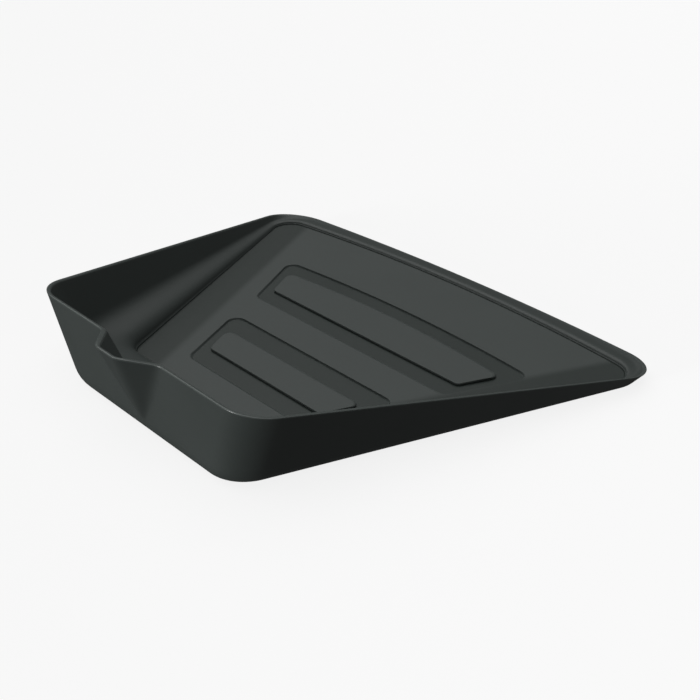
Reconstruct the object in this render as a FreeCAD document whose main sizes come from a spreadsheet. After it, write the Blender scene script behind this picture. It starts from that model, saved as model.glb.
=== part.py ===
"""Paint roller tray: a tapered moulded tray with a pour spout, a drop-in
floor panel, two roll-off bars and four non-slip feet.

Frame: millimetres, +Z up.  X runs across the tray, Y from the deep spout end
towards the wide shallow mouth.  The origin is below the middle of the tray's
box, on the surface that the feet stand on.  Sketches are laid out from the
rim's outer edge at the spout end, and each finished piece is moved from there.
"""

import FreeCAD
import Part
import math
import os

import Sketcher

from FreeCAD import Placement, Rotation, Vector

NODE_FOLDER = "parts"

# Driving dimensions in millimetres.  Each becomes an aliased spreadsheet cell.
SIZES = {
    # overall shape, measured at the outer edge of the rim
    "tray_length": 300.0,
    "mouth_width": 400.0,
    "spout_end_width": 224.0,
    "rim_height": 66.0,
    "mouth_height": 8.0,
    "mouth_bow": 14.0,
    "rim_corner_spout_end": 28.0,
    "rim_corner_mouth": 32.0,
    # moulded shell: where its outer skin bends, and where it meets the ground
    "wall": 2.5,
    "cut_margin": 5.0,
    "underside_height": 1.0,
    "knee_height_spout_end": 13.0,
    "knee_height_mouth": 3.0,
    "knee_side_spout_end": 19.5,
    "knee_side_mouth": 8.0,
    "knee_end": 3.0,
    "knee_mouth": 5.0,
    "ground_side_spout_end": 36.0,
    "ground_side_mouth": 13.0,
    "ground_end": 13.0,
    "ground_mouth": 10.0,
    # cove of the inner skin, at its shoulder and half way round its bend
    "shoulder_height_spout_end": 33.5,
    "shoulder_height_mouth": 7.6,
    "shoulder_side_spout_end": 14.2,
    "shoulder_side_mouth": 5.0,
    "shoulder_end": 8.1,
    "shoulder_mouth": 6.5,
    "cove_height_spout_end": 14.7,
    "cove_height_mouth": 7.3,
    "cove_side_spout_end": 28.7,
    "cove_side_mouth": 7.0,
    "cove_end": 25.0,
    "cove_mouth": 12.0,
    "cove_corner": 28.0,
    # hollow under the cove at the spout end, which keeps the moulding thin
    "core_height": 10.0,
    "core_start": 17.0,
    "core_stop": 46.0,
    "core_top_start": 9.5,
    "core_top_stop": 24.0,
    "core_width": 128.0,
    "core_top_width": 120.0,
    # recess that the floor panel drops into
    "recess_floor": 3.5,
    "recess_step": 1.0,
    "recess_end": 50.0,
    "recess_mouth": 18.5,
    "recess_side_spout_end": 29.0,
    "recess_side_mouth": 13.0,
    "recess_corner": 16.0,
    # pour spout, a wedge that grows from an apex low on the end wall
    "spout_root_width": 62.0,
    "spout_lip_width": 21.0,
    "spout_reach": 17.5,
    "spout_apex_height": 13.0,
    "spout_apex_width": 8.0,
    "spout_apex_front": 2.5,
    "spout_apex_seat": 6.0,
    "spout_seat": 2.0,
    "channel_rise": 14.0,
    "channel_seat": 4.0,
    "channel_apex_seat": 16.0,
    # floor panel and its two grooves, which the bars stand in
    "panel_thickness": 3.0,
    "panel_clearance": 0.35,
    "groove_depth": 1.6,
    "groove_corner": 8.0,
    "front_groove_start": 75.0,
    "front_groove_end": 138.7,
    "front_groove_start_width": 120.0,
    "front_groove_end_width": 174.0,
    "rear_groove_start": 167.5,
    "rear_groove_end": 228.5,
    "rear_groove_start_width": 196.0,
    "rear_groove_end_width": 254.0,
    "rear_groove_bow": 7.0,
    "groove_offset": 9.0,  # the pattern stands off centre, towards the right
    # roll-off bars
    "front_bar_near_gap": 18.2,
    "front_bar_far_gap": 18.0,
    "rear_bar_near_gap": 17.0,
    "rear_bar_far_gap": 14.0,
    "bar_near_end_gap": 1.5,
    "bar_far_end_gap": 17.0,
    "bar_height": 2.2,
    "bar_corner": 5.0,
    "bar_edge": 0.5,
    "peg_diameter": 6.0,
    "peg_clearance": 0.15,
    "front_peg_line": 107.0,
    "front_peg_spread": 60.0,
    "rear_peg_line": 200.0,
    "rear_peg_spread": 120.0,
    # non-slip feet
    "foot_diameter": 18.0,
    "foot_recess": 1.0,
    "foot_clearance": 0.1,
    "foot_edge": 0.4,
    "foot_spread_spout_end": 110.0,
    "foot_spread_mouth": 280.0,
    "foot_end": 66.0,
    "foot_mouth": 32.0,
}

SHEET = "Sizes"


def total(terms):
    """Add up (factor, size name) terms."""
    return sum(factor * SIZES[name] for factor, name in terms)


def formula(terms):
    """Write the same sum as a spreadsheet expression."""
    return " + ".join("(%g) * %s.%s" % (factor, SHEET, name) for factor, name in terms)


def make_sheet(doc):
    """Write every driving dimension into an aliased cell."""
    sheet = doc.addObject("Spreadsheet::Sheet", SHEET)
    for row, (name, value) in enumerate(SIZES.items(), start=1):
        sheet.set("A%d" % row, name)
        sheet.set("B%d" % row, "%g" % value)
        sheet.setAlias("B%d" % row, name)
    return sheet


def inset_from(outline, side_near=(), side_far=(), near=(), far=(), corner_near=(), corner_far=()):
    """Describe an outline that lies inside another by summed insets."""

    def inward(terms):
        return [(-factor, name) for factor, name in terms]

    return {
        "near_half": outline["near_half"] + inward(side_near),
        "far_half": outline["far_half"] + inward(side_far),
        "near_y": outline["near_y"] + list(near),
        "far_y": outline["far_y"] + inward(far),
        "bow": outline["bow"],
        "corner_near": list(corner_near) or outline["corner_near"],
        "corner_far": list(corner_far) or outline["corner_far"],
    }


RIM = {
    "near_half": [(0.5, "spout_end_width")],
    "far_half": [(0.5, "mouth_width")],
    "near_y": [],
    "far_y": [(1, "tray_length")],
    "bow": [(1, "mouth_bow")],
    "corner_near": [(1, "rim_corner_spout_end")],
    "corner_far": [(1, "rim_corner_mouth")],
}
WALL = [(1, "wall")]
INNER_RIM = inset_from(
    RIM,
    side_near=WALL,
    side_far=WALL,
    near=WALL,
    far=WALL,
    corner_near=[(1, "rim_corner_spout_end"), (-1, "wall")],
    corner_far=[(1, "rim_corner_mouth"), (-1, "wall")],
)
KNEE = inset_from(
    RIM,
    side_near=[(1, "knee_side_spout_end")],
    side_far=[(1, "knee_side_mouth")],
    near=[(1, "knee_end")],
    far=[(1, "knee_mouth")],
    corner_far=[(1, "rim_corner_mouth"), (-1, "knee_side_mouth")],
)
GROUND = inset_from(
    RIM,
    side_near=[(1, "ground_side_spout_end")],
    side_far=[(1, "ground_side_mouth")],
    near=[(1, "ground_end")],
    far=[(1, "ground_mouth")],
    corner_far=[(1, "rim_corner_mouth"), (-1, "ground_side_mouth")],
)
SHOULDER = inset_from(
    RIM,
    side_near=[(1, "shoulder_side_spout_end")],
    side_far=[(1, "shoulder_side_mouth")],
    near=[(1, "shoulder_end")],
    far=[(1, "shoulder_mouth")],
    corner_far=[(1, "rim_corner_mouth"), (-1, "shoulder_side_mouth")],
)
COVE = inset_from(
    RIM,
    side_near=[(1, "cove_side_spout_end")],
    side_far=[(1, "cove_side_mouth")],
    near=[(1, "cove_end")],
    far=[(1, "cove_mouth")],
    corner_near=[(1, "cove_corner")],
    corner_far=[(1, "cove_corner")],
)
RECESS = inset_from(
    RIM,
    side_near=[(1, "recess_side_spout_end")],
    side_far=[(1, "recess_side_mouth")],
    near=[(1, "recess_end")],
    far=[(1, "recess_mouth")],
    corner_near=[(1, "recess_corner")],
    corner_far=[(1, "recess_corner")],
)
GAP = [(1, "panel_clearance")]
PANEL = inset_from(RECESS, side_near=GAP, side_far=GAP, near=GAP, far=GAP)
GROOVE_CORNER = [(1, "groove_corner")]
ASIDE = [(1, "groove_offset")]
FRONT_GROOVE = {
    "near_half": [(0.5, "front_groove_start_width")],
    "far_half": [(0.5, "front_groove_end_width")],
    "near_y": [(1, "front_groove_start")],
    "far_y": [(1, "front_groove_end")],
    "bow": [],
    "corner_near": GROOVE_CORNER,
    "corner_far": GROOVE_CORNER,
}
REAR_GROOVE = {
    "near_half": [(0.5, "rear_groove_start_width")],
    "far_half": [(0.5, "rear_groove_end_width")],
    "near_y": [(1, "rear_groove_start")],
    "far_y": [(1, "rear_groove_end")],
    "bow": [(1, "rear_groove_bow")],
    "corner_near": GROOVE_CORNER,
    "corner_far": GROOVE_CORNER,
}
BAR_ENDS = {"side_near": [(1, "bar_near_end_gap")], "side_far": [(1, "bar_far_end_gap")]}
BAR_CORNERS = {"corner_near": [(1, "bar_corner")], "corner_far": [(1, "bar_corner")]}
FRONT_BAR = inset_from(
    FRONT_GROOVE,
    near=[(1, "front_bar_near_gap")],
    far=[(1, "front_bar_far_gap")],
    **BAR_ENDS,
    **BAR_CORNERS,
)
REAR_BAR = inset_from(
    REAR_GROOVE,
    near=[(1, "rear_bar_near_gap")],
    far=[(1, "rear_bar_far_gap")],
    **BAR_ENDS,
    **BAR_CORNERS,
)


def corner_arc(before, corner, after, radius):
    """Round one corner of a polygon: its two tangent points and its centre."""
    to_before = (before - corner).normalize()
    to_after = (after - corner).normalize()
    half_angle = to_before.getAngle(to_after) / 2
    setback = radius / math.tan(half_angle)
    middle = (to_before + to_after).normalize()
    centre = corner + middle * (radius / math.sin(half_angle))
    return corner + to_before * setback, centre, corner + to_after * setback


def counter_clockwise_arc(start, centre, end):
    """Make an arc from start to end, turning left about the centre."""
    first = math.atan2(start.y - centre.y, start.x - centre.x)
    last = math.atan2(end.y - centre.y, end.x - centre.x)
    radius = (start - centre).Length
    circle = Part.Circle(centre, Vector(0, 0, 1), radius)
    return Part.ArcOfCircle(circle, first, last)


class SlopedSheet:
    """A plane across the tray: its height at the spout end's rim edge, and
    its height a tray's length further on."""

    def __init__(self, near_height, far_height):
        self.near_height = near_height
        self.far_height = far_height

    def angle(self):
        """Give the slope in radians, as the sheet's expressions work it out."""
        drop = total(self.near_height) - total(self.far_height)
        return math.atan(drop / SIZES["tray_length"])

    def angle_formula(self):
        """Write the slope as a spreadsheet expression."""
        drop = "(%s) - (%s)" % (formula(self.near_height), formula(self.far_height))
        return "atan((%s) / %s.tray_length)" % (drop, SHEET)

    def stretch(self):
        """Give how much longer the plane is than its plan view."""
        return 1 / math.cos(self.angle())

    def place(self, sketch):
        """Tilt and lift a sketch onto this plane, bound to the sheet."""
        sketch.Placement = Placement(Vector(0, 0, 0), Rotation(Vector(-1, 0, 0), 1))
        sketch.setExpression("Placement.Base.z", formula(self.near_height))
        sketch.setExpression("Placement.Rotation.Angle", self.angle_formula())


class FlatSheet:
    """A level plane at one height."""

    def __init__(self, height):
        self.height = height

    def stretch(self):
        """Give how much longer the plane is than its plan view."""
        return 1.0

    def place(self, sketch):
        """Lift a sketch to this height, bound to the sheet."""
        if self.height:
            sketch.setExpression("Placement.Base.z", formula(self.height))


def draw_outline(sketch, outline, sheet=None):
    """Draw a symmetric trapezoid with rounded corners and a bowed far edge,
    and bind its dimensions.  Edges run counter-clockwise from the near edge."""
    stretch = sheet.stretch() if sheet else 1.0
    near_half = total(outline["near_half"])
    far_half = total(outline["far_half"])
    near_y = total(outline["near_y"]) * stretch
    far_y = total(outline["far_y"]) * stretch
    bow = total(outline["bow"]) * stretch
    near_radius = total(outline["corner_near"])
    far_radius = total(outline["corner_far"])
    side = Vector(far_half - near_half, far_y - near_y, 0).normalize()
    near_corner = Vector(near_half, near_y, 0)
    near_start, near_centre, near_end = corner_arc(
        Vector(0, near_y, 0), near_corner, near_corner + side, near_radius
    )
    crown = Vector(0, far_y + bow, 0)
    if bow:
        sweep_radius = (far_half**2 + bow**2) / (2 * bow)
        sweep_centre = Vector(0, far_y + bow - sweep_radius, 0)
        # The corner's centre is its radius inside both the side and the sweep.
        inward = Vector(-side.y, side.x, 0)
        base = near_corner + inward * far_radius
        reach = sweep_radius - far_radius
        offset = base - sweep_centre
        along = -offset.dot(side) + math.sqrt(offset.dot(side) ** 2 - offset.dot(offset) + reach**2)
        far_centre = base + side * along
        far_start = far_centre - inward * far_radius
        far_end = far_centre + (far_centre - sweep_centre).normalize() * far_radius
    else:
        far_corner = Vector(far_half, far_y, 0)
        far_start, far_centre, far_end = corner_arc(near_corner, far_corner, crown, far_radius)

    def mirrored(point):
        return Vector(-point.x, point.y, 0)

    edges = [
        Part.LineSegment(mirrored(near_start), near_start),
        counter_clockwise_arc(near_start, near_centre, near_end),
        Part.LineSegment(near_end, far_start),
        counter_clockwise_arc(far_start, far_centre, far_end),
    ]
    if bow:
        edges.append(counter_clockwise_arc(far_end, sweep_centre, mirrored(far_end)))
    else:
        edges.append(Part.LineSegment(far_end, mirrored(far_end)))
    edges += [
        counter_clockwise_arc(mirrored(far_end), mirrored(far_centre), mirrored(far_start)),
        Part.LineSegment(mirrored(far_start), mirrored(near_end)),
        counter_clockwise_arc(mirrored(near_end), mirrored(near_centre), mirrored(near_start)),
    ]
    sketch.addGeometry(edges, False)
    bind_outline(sketch, outline, bool(bow), near_corner, Vector(far_half, far_y, 0), crown, sheet)


def bind_outline(sketch, outline, bowed, near_corner, far_corner, crown, sheet):
    """Constrain the eight edges of an outline and bind their sizes."""
    near_edge, near_arc, side, far_arc, far_edge, left_far_arc, left_side, left_near_arc = range(8)
    start, end = 1, 2
    for edge in range(8):
        following = (edge + 1) % 8
        sketch.addConstraint(Sketcher.Constraint("Tangent", edge, end, following, start))
    sketch.addConstraint(Sketcher.Constraint("Symmetric", near_edge, start, near_edge, end, -2))
    sketch.addConstraint(Sketcher.Constraint("Symmetric", far_edge, start, far_edge, end, -2))
    sketch.addConstraint(Sketcher.Constraint("Equal", near_arc, left_near_arc))
    sketch.addConstraint(Sketcher.Constraint("Equal", far_arc, left_far_arc))
    corner_point = sketch.addGeometry(Part.Point(near_corner), True)
    sketch.addConstraint(Sketcher.Constraint("PointOnObject", corner_point, 1, near_edge))
    sketch.addConstraint(Sketcher.Constraint("PointOnObject", corner_point, 1, side))
    end_point = sketch.addGeometry(Part.Point(far_corner), True)
    sketch.addConstraint(Sketcher.Constraint("PointOnObject", end_point, 1, far_edge))
    sketch.addConstraint(Sketcher.Constraint("PointOnObject", end_point, 1, side))
    lengthen = " / cos(%s)" % sheet.angle_formula() if isinstance(sheet, SlopedSheet) else ""
    bind_size(sketch, ("DistanceX", -1, 1, corner_point, 1), near_corner.x, formula(outline["near_half"]))
    if outline["near_y"]:
        near_formula = "(%s)%s" % (formula(outline["near_y"]), lengthen)
        bind_size(sketch, ("DistanceY", -1, 1, corner_point, 1), near_corner.y, near_formula)
    else:
        sketch.addConstraint(Sketcher.Constraint("PointOnObject", corner_point, 1, -1))
    bind_size(sketch, ("DistanceX", -1, 1, end_point, 1), far_corner.x, formula(outline["far_half"]))
    far_formula = "(%s)%s" % (formula(outline["far_y"]), lengthen)
    bind_size(sketch, ("DistanceY", -1, 1, end_point, 1), far_corner.y, far_formula)
    near_radius = total(outline["corner_near"])
    far_radius = total(outline["corner_far"])
    bind_size(sketch, ("Radius", near_arc), near_radius, formula(outline["corner_near"]))
    bind_size(sketch, ("Radius", far_arc), far_radius, formula(outline["corner_far"]))
    if bowed:
        crown_point = sketch.addGeometry(Part.Point(crown), True)
        sketch.addConstraint(Sketcher.Constraint("PointOnObject", crown_point, 1, far_edge))
        sketch.addConstraint(Sketcher.Constraint("PointOnObject", crown_point, 1, -2))
        crown_formula = "(%s + %s)%s" % (formula(outline["far_y"]), formula(outline["bow"]), lengthen)
        bind_size(sketch, ("DistanceY", -1, 1, crown_point, 1), crown.y, crown_formula)


def bind_size(sketch, reference, value, expression):
    """Add one dimension to a sketch and bind it to the sheet."""
    index = sketch.addConstraint(Sketcher.Constraint(*reference, value))
    sketch.setExpression("Constraints[%d]" % index, expression)


def draw_polygon(sketch, corners, sheet=None):
    """Draw a closed polygon, mirror images included, whose right-hand corners
    are given as (x terms, y terms), and bind every corner's place."""
    stretch = sheet.stretch() if sheet else 1.0
    lengthen = " / cos(%s)" % sheet.angle_formula() if isinstance(sheet, SlopedSheet) else ""
    right = [Vector(total(x), total(y) * stretch, 0) for x, y in corners]
    left = [Vector(-point.x, point.y, 0) for point in reversed(right)]
    points = right + left
    count = len(points)
    for index, point in enumerate(points):
        sketch.addGeometry(Part.LineSegment(point, points[(index + 1) % count]), False)
    for index in range(count):
        following = (index + 1) % count
        sketch.addConstraint(Sketcher.Constraint("Coincident", index, 2, following, 1))
    for index, (x_terms, y_terms) in enumerate(corners):
        mirror = count - 1 - index
        sketch.addConstraint(Sketcher.Constraint("Symmetric", index, 1, mirror, 1, -2))
        bind_size(sketch, ("DistanceX", -1, 1, index, 1), right[index].x, formula(x_terms))
        y_formula = "(%s)%s" % (formula(y_terms), lengthen)
        bind_size(sketch, ("DistanceY", -1, 1, index, 1), right[index].y, y_formula)


def section(doc, name, sheet, draw, *shape):
    """Make one free-standing sketch on a plane across the tray."""
    sketch = doc.addObject("Sketcher::SketchObject", name)
    draw(sketch, *shape, sheet)
    sheet.place(sketch)
    return sketch


def loft(doc, name, sections, ruled):
    """Skin a solid over a stack of sections."""
    skin = doc.addObject("Part::Loft", name)
    skin.Sections = sections
    skin.Solid = True
    skin.Ruled = ruled
    return skin


def body_sketch(body, name, height_terms=None, aside_terms=None):
    """Attach a sketch to a body's own XY plane, lifted by a bound height and
    moved aside by a bound distance."""
    sketch = body.newObject("Sketcher::SketchObject", name)
    sketch.AttachmentSupport = [(origin_plane(body, "XY_Plane"), "")]
    sketch.MapMode = "FlatFace"
    if height_terms:
        sketch.setExpression("AttachmentOffset.Base.z", formula(height_terms))
    if aside_terms:
        sketch.setExpression("AttachmentOffset.Base.x", formula(aside_terms))
    return sketch


def origin_plane(body, role):
    """Find one of a body's own origin planes by its role."""
    for feature in body.Origin.OriginFeatures:
        if feature.Role == role:
            return feature
    raise RuntimeError("no plane " + role)


def extrude(body, kind, name, sketch, length_terms, reverse=False):
    """Add a Pad or a Pocket whose length is bound to the sheet."""
    feature = body.newObject("PartDesign::" + kind, name)
    feature.Profile = sketch
    feature.Reversed = reverse
    feature.setExpression("Length", formula(length_terms))
    return feature


def draw_circles(sketch, centres, diameter_terms):
    """Draw circles of one diameter, each centre bound to the sheet."""
    for x_terms, y_terms in centres:
        centre = Vector(total(x_terms), total(y_terms), 0)
        circle = Part.Circle(centre, Vector(0, 0, 1), total(diameter_terms) / 2)
        index = sketch.addGeometry(circle, False)
        bind_size(sketch, ("Diameter", index), total(diameter_terms), formula(diameter_terms))
        bind_size(sketch, ("DistanceX", -1, 1, index, 3), centre.x, formula(x_terms))
        bind_size(sketch, ("DistanceY", -1, 1, index, 3), centre.y, formula(y_terms))


RIM_SHEET = SlopedSheet([(1, "rim_height")], [(1, "mouth_height")])
OVER_RIM_SHEET = SlopedSheet(
    [(1, "rim_height"), (1, "cut_margin")], [(1, "mouth_height"), (1, "cut_margin")]
)
KNEE_SHEET = SlopedSheet([(1, "knee_height_spout_end")], [(1, "knee_height_mouth")])
SHOULDER_SHEET = SlopedSheet([(1, "shoulder_height_spout_end")], [(1, "shoulder_height_mouth")])
COVE_SHEET = SlopedSheet([(1, "cove_height_spout_end")], [(1, "cove_height_mouth")])
GROUND_SHEET = FlatSheet([(1, "underside_height")])
RECESS_FLOOR = [(1, "recess_floor")]
PANEL_TOP = [(1, "recess_floor"), (1, "panel_thickness")]
LEDGE = PANEL_TOP + [(1, "recess_step")]
OVER_LEDGE = LEDGE + [(1, "panel_clearance")]
GROOVE_FLOOR = PANEL_TOP + [(-1, "groove_depth")]
PEG_LENGTH = [(1, "panel_thickness"), (-1, "groove_depth")]
PEG_HOLE = [(1, "peg_diameter"), (2, "peg_clearance")]
MIDDLE_OF_BOX = [(0.5, "tray_length"), (0.5, "mouth_bow"), (-0.5, "spout_reach")]
CORE_BASE = [
    ([(0.5, "core_width")], [(1, "core_stop")]),
    ([(0.5, "core_width")], [(1, "core_start")]),
]
CORE_TOP = [
    ([(0.5, "core_top_width")], [(1, "core_top_stop")]),
    ([(0.5, "core_top_width")], [(1, "core_top_start")]),
]
SPOUT_APEX_HEIGHT = [(1, "spout_apex_height")]
SPOUT_APEX = [
    ([(0.5, "spout_apex_width")], [(1, "spout_apex_seat")]),
    ([(0.2, "spout_apex_width")], [(1, "spout_apex_front")]),
]
SPOUT_LIP = [
    ([(0.5, "spout_root_width")], [(1, "spout_seat")]),
    ([(0.5, "spout_lip_width")], [(-1, "spout_reach")]),
]
CHANNEL_APEX_HEIGHT = [(1, "spout_apex_height"), (1, "channel_rise")]
CHANNEL_APEX = [
    ([(0.5, "spout_apex_width")], [(1, "channel_apex_seat")]),
    ([(0.2, "spout_apex_width")], [(1, "spout_apex_front"), (1, "wall")]),
]
CHANNEL_LIP = [
    ([(0.5, "spout_root_width"), (-1, "wall")], [(1, "channel_seat")]),
    ([(0.5, "spout_lip_width"), (-0.6, "wall")], [(-1, "spout_reach"), (1, "wall")]),
]
PEGS = {
    "front": [
        ([(-0.5, "front_peg_spread")], [(1, "front_peg_line")]),
        ([(0.5, "front_peg_spread")], [(1, "front_peg_line")]),
    ],
    "rear": [
        ([(-0.5, "rear_peg_spread")], [(1, "rear_peg_line")]),
        ([(0.5, "rear_peg_spread")], [(1, "rear_peg_line")]),
    ],
}
FEET = [
    ("foot_spout_end_left", -0.5, "foot_spread_spout_end", [(1, "foot_end")]),
    ("foot_spout_end_right", 0.5, "foot_spread_spout_end", [(1, "foot_end")]),
    ("foot_mouth_left", -0.5, "foot_spread_mouth", [(1, "tray_length"), (-1, "foot_mouth")]),
    ("foot_mouth_right", 0.5, "foot_spread_mouth", [(1, "tray_length"), (-1, "foot_mouth")]),
]


def combine(doc, kind, name, base, tool):
    """Join two solids with a Part boolean."""
    result = doc.addObject("Part::" + kind, name)
    result.Base = base
    result.Tool = tool
    result.Refine = False
    return result


def make_spout_wedge(doc, name, top_sheet, top, apex_height, apex):
    """Skin one wedge of the spout, from its apex up to its lip."""
    apex_section = section(doc, name + "Apex", FlatSheet(apex_height), draw_polygon, apex)
    lip_section = section(doc, name + "Lip", top_sheet, draw_polygon, top)
    return loft(doc, name, [apex_section, lip_section], True)


def make_shell(doc):
    """Build the tray's moulding: skin, basin, recess, spout and foot seats."""
    outer = loft(
        doc,
        "ShellOuter",
        [
            section(doc, "GroundOutline", GROUND_SHEET, draw_outline, GROUND),
            section(doc, "KneeOutline", KNEE_SHEET, draw_outline, KNEE),
            section(doc, "RimOutline", RIM_SHEET, draw_outline, RIM),
        ],
        True,
    )
    basin = loft(
        doc,
        "Basin",
        [
            section(doc, "LedgeOutline", FlatSheet(LEDGE), draw_outline, RECESS),
            section(doc, "CoveOutline", COVE_SHEET, draw_outline, COVE),
            section(doc, "ShoulderOutline", SHOULDER_SHEET, draw_outline, SHOULDER),
            section(doc, "InnerRimOutline", RIM_SHEET, draw_outline, INNER_RIM),
            section(doc, "BasinTopOutline", OVER_RIM_SHEET, draw_outline, INNER_RIM),
        ],
        True,
    )
    recess = loft(
        doc,
        "PanelRecess",
        [
            section(doc, "RecessFloorOutline", FlatSheet(RECESS_FLOOR), draw_outline, RECESS),
            section(doc, "RecessTopOutline", FlatSheet(OVER_LEDGE), draw_outline, RECESS),
        ],
        True,
    )
    core = loft(
        doc,
        "UndersideCore",
        [
            section(doc, "CoreBase", FlatSheet([]), draw_polygon, CORE_BASE),
            section(doc, "CoreTop", FlatSheet([(1, "core_height")]), draw_polygon, CORE_TOP),
        ],
        True,
    )
    spout = make_spout_wedge(doc, "SpoutSkin", RIM_SHEET, SPOUT_LIP, SPOUT_APEX_HEIGHT, SPOUT_APEX)
    channel = make_spout_wedge(
        doc, "SpoutChannel", OVER_RIM_SHEET, CHANNEL_LIP, CHANNEL_APEX_HEIGHT, CHANNEL_APEX
    )
    body = combine(doc, "Cut", "OpenBasin", outer, basin)
    body = combine(doc, "Cut", "OpenRecess", body, recess)
    body = combine(doc, "Cut", "CoredShell", body, core)
    for name, side, spread, y_terms in FEET:
        seat = doc.addObject("Part::Cylinder", name + "_seat")
        seat.setExpression("Radius", formula([(0.5, "foot_diameter")]))
        seat.setExpression("Height", formula([(1, "underside_height"), (1, "foot_recess")]))
        seat.setExpression("Placement.Base.x", formula([(side, spread)]))
        seat.setExpression("Placement.Base.y", formula(y_terms))
        body = combine(doc, "Cut", "Shell_" + name, body, seat)
    body = combine(doc, "Cut", "SlottedShell", body, channel)
    lip = combine(doc, "Cut", "OpenSpout", spout, channel)
    body = combine(doc, "Fuse", "Shell", body, lip)
    body.Label = "tray_shell"
    return body


def make_panel(doc):
    """Build the drop-in floor panel with a groove round each bar."""
    body = doc.addObject("PartDesign::Body", "FloorPanel")
    body.Label = "floor_panel"
    plate = body_sketch(body, "PanelOutline", RECESS_FLOOR)
    draw_outline(plate, PANEL)
    extrude(body, "Pad", "PanelPlate", plate, [(1, "panel_thickness")])
    for name, groove in (("FrontGroove", FRONT_GROOVE), ("RearGroove", REAR_GROOVE)):
        outline = body_sketch(body, name + "Outline", PANEL_TOP, ASIDE)
        draw_outline(outline, groove)
        extrude(body, "Pocket", name, outline, [(1, "groove_depth")])
    holes = body_sketch(body, "PegHoleCentres", RECESS_FLOOR, ASIDE)
    draw_circles(holes, PEGS["front"] + PEGS["rear"], PEG_HOLE)
    extrude(body, "Pocket", "PegHoles", holes, [(1, "panel_thickness")], reverse=True)
    return body


def make_bar(doc, label, outline, pegs):
    """Build one roll-off bar with its two locating pegs."""
    body = doc.addObject("PartDesign::Body", "Body_" + label)
    body.Label = label
    top = body_sketch(body, label + "_outline", GROOVE_FLOOR, ASIDE)
    draw_outline(top, outline)
    block = extrude(body, "Pad", label + "_block", top, [(1, "bar_height")])
    body.Document.recompute()
    edge = body.newObject("PartDesign::Fillet", label + "_edge")
    edge.Base = (block, [upper_face(block.Shape)])
    edge.setExpression("Radius", formula([(1, "bar_edge")]))
    foot = body_sketch(body, label + "_pegs", GROOVE_FLOOR, ASIDE)
    draw_circles(foot, pegs, [(1, "peg_diameter")])
    extrude(body, "Pad", label + "_peg_pads", foot, PEG_LENGTH, reverse=True)
    return body


def upper_face(shape):
    """Name the highest level face of a solid."""
    heights = [face.CenterOfMass.z for face in shape.Faces]
    return "Face%d" % (heights.index(max(heights)) + 1)


def make_foot(doc, label, side, spread, y_terms):
    """Build one non-slip foot: a disc with a softened lower edge."""
    body = doc.addObject("PartDesign::Body", "Body_" + label)
    body.Label = label
    disc = body_sketch(body, label + "_outline")
    draw_circles(disc, [([(side, spread)], y_terms)], [(1, "foot_diameter"), (-2, "foot_clearance")])
    height = [(1, "underside_height"), (1, "foot_recess")]
    block = extrude(body, "Pad", label + "_disc", disc, height)
    body.Document.recompute()
    heights = [face.CenterOfMass.z for face in block.Shape.Faces]
    lower = "Face%d" % (heights.index(min(heights)) + 1)
    edge = body.newObject("PartDesign::Fillet", label + "_edge")
    edge.Base = (block, [lower])
    edge.setExpression("Radius", formula([(1, "foot_edge")]))
    return body


def check(doc, nodes):
    """Stop if any object failed or any node has no valid solid."""
    for thing in doc.Objects:
        if "Invalid" in thing.State or "Error" in thing.State:
            raise RuntimeError("%s failed: %s" % (thing.Name, thing.State))
    for node in nodes:
        shape = node.Shape
        if shape.isNull() or not shape.isValid() or not shape.Solids:
            raise RuntimeError("%s has no valid solid" % node.Label)


def main():
    """Build the document, check it and export one file for each node."""
    doc = FreeCAD.newDocument("PaintRollerTray")
    make_sheet(doc)
    nodes = [
        make_shell(doc),
        make_panel(doc),
        make_bar(doc, "front_rolloff_bar", FRONT_BAR, PEGS["front"]),
        make_bar(doc, "rear_rolloff_bar", REAR_BAR, PEGS["rear"]),
    ]
    nodes += [make_foot(doc, *foot) for foot in FEET]
    for node in nodes:
        node.setExpression("Placement.Base.y", "-1 * (%s)" % formula(MIDDLE_OF_BOX))
    doc.recompute()
    check(doc, nodes)
    os.makedirs(NODE_FOLDER, exist_ok=True)
    for node in nodes:
        node.Shape.exportStep(os.path.join(NODE_FOLDER, node.Label + ".step"))
        box = node.Shape.BoundBox
        size = (node.Label, len(node.Shape.Solids), node.Shape.Volume, box.XMin, box.XMax, box.YMin)
        print("%s: %d solid, %.0f mm3, x %.2f to %.2f, y %.2f" % size, end=" ")
        print("to %.2f, z %.2f to %.2f" % (box.YMax, box.ZMin, box.ZMax))


main()
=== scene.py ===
"""Looks for a moulded paint roller tray with a pour spout and a drop-in floor.

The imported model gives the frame.  Sizes in this file are millimetres laid out
from the rim's outer edge at the spout end: X across the tray, Y towards the
mouth and Z up from the surface that the feet stand on.
"""

import logging
import math
from dataclasses import dataclass, field, replace
from enum import Enum
from typing import Sequence

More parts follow.
